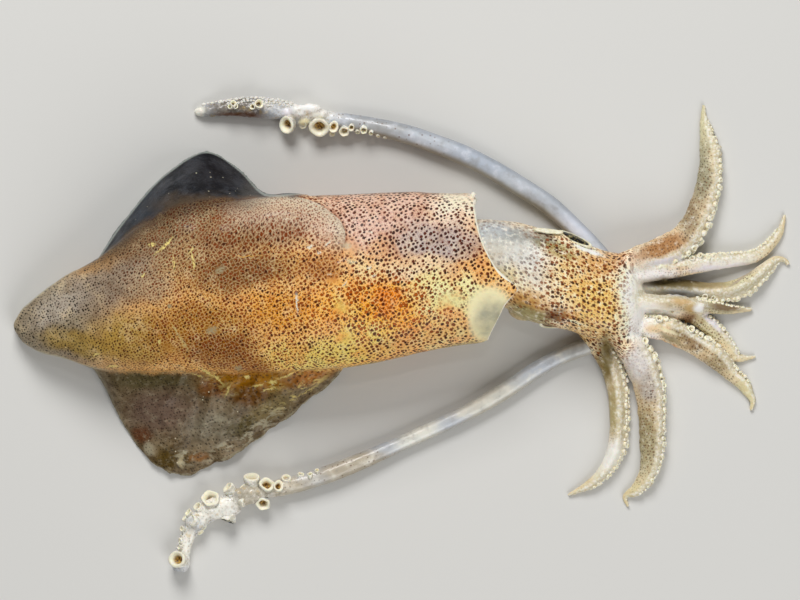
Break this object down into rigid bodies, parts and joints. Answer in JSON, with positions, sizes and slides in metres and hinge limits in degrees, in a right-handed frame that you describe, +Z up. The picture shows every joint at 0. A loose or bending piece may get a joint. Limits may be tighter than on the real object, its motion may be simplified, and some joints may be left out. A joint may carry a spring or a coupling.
{
  "type": "whole raw squid",
  "caption": "Small whole raw squid lying belly down, with its tail fins spread, arms fanned out and long tentacles laid back beside the body.",
  "frame": {"origin": "middle of the squid's length and width, on the surface that it lies on", "axes": "+X from the tail to the arms, +Y to the squid's left, +Z up from the surface"},
  "size_m": [0.1944, 0.1191, 0.0262],
  "materials": {
    "skin": "wet, spotted skin over pale flesh"
  },
  "bodies": {
    "root": {"squid": "skin"}
  },
  "joints": []
}
